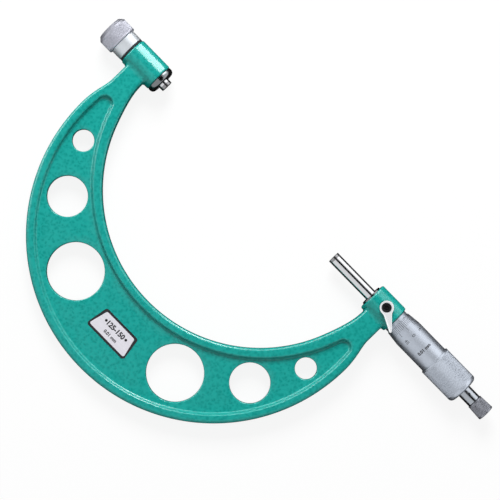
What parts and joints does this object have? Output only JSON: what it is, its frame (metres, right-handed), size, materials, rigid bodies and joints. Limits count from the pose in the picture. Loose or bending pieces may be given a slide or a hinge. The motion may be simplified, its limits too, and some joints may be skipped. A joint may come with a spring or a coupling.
{
  "type": "outside micrometer",
  "caption": "Outside micrometer: C-shaped cast frame with an exchangeable anvil, a screw-driven spindle, graduated thimble, ratchet stop and lock lever.",
  "frame": {"origin": "middle of the anvil's measuring face", "axes": "+X along the measuring axis from the anvil to the spindle and thimble, -Y towards the bow of the frame, +Z out of the side with the plate and the lock lever"},
  "size_m": [0.283, 0.1445, 0.0195],
  "materials": {
    "enamel": "glossy hammered enamel on a casting",
    "plate": "brushed, printed",
    "steel": "ground",
    "carbide": "lapped",
    "satin_chrome": "satin",
    "bright_chrome": "bright",
    "black": "black oxide",
    "brass": "turned"
  },
  "bodies": {
    "frame": {"frame": "enamel", "scale_plate": "plate", "plate_pin_left": "black", "plate_pin_right": "black", "anvil_sleeve": "bright_chrome", "anvil_front_ring": "bright_chrome", "guide_sleeve": "steel", "graduated_sleeve": "satin_chrome", "adjusting_nut": "brass", "lock_shoe": "brass"},
    "anvil": {"anvil": "steel", "anvil_tip": "carbide"},
    "clamp_nut": {"clamp_nut": "satin_chrome"},
    "spindle_tip": {"spindle_tip": "carbide"},
    "thimble": {"spindle": "steel", "thimble": "satin_chrome", "ratchet_body": "bright_chrome", "ratchet_ring": "steel", "ratchet_spring": "steel", "knob_screw": "steel"},
    "ratchet_knob": {"ratchet_knob": "satin_chrome"},
    "lock_lever": {"lock_lever": "bright_chrome", "lock_screw": "black"}
  },
  "joints": [
    {"name": "spindle_slide", "type": "slide", "parent": "frame", "child": "spindle_tip", "axis": [1, 0, 0], "range_m": [0, 0.025]},
    {"name": "thimble_turn", "type": "hinge", "parent": "spindle_tip", "child": "thimble", "pos_m": [0.2, 0, 0], "axis": [1, 0, 0], "range_deg": [0, 18000]},
    {"name": "knob_turn", "type": "hinge", "parent": "thimble", "child": "ratchet_knob", "pos_m": [0.235, 0, 0], "axis": [1, 0, 0], "continuous": true},
    {"name": "lever_turn", "type": "hinge", "parent": "frame", "child": "lock_lever", "pos_m": [0.1631, 0.0012, 0.009], "axis": [0, 0, 1], "range_deg": [-25, 60]},
    {"name": "anvil_slide", "type": "slide", "parent": "frame", "child": "anvil", "axis": [-1, 0, 0], "range_m": [0, 0.0045]},
    {"name": "nut_turn", "type": "hinge", "parent": "anvil", "child": "clamp_nut", "pos_m": [-0.038, 0, 0], "axis": [-1, 0, 0], "range_deg": [0, 2160]}
  ],
  "couplings": [
    {"joint": "thimble_turn", "follows": "spindle_slide", "rad_per_m": 12566},
    {"joint": "nut_turn", "follows": "anvil_slide", "rad_per_m": 8377.6}
  ]
}
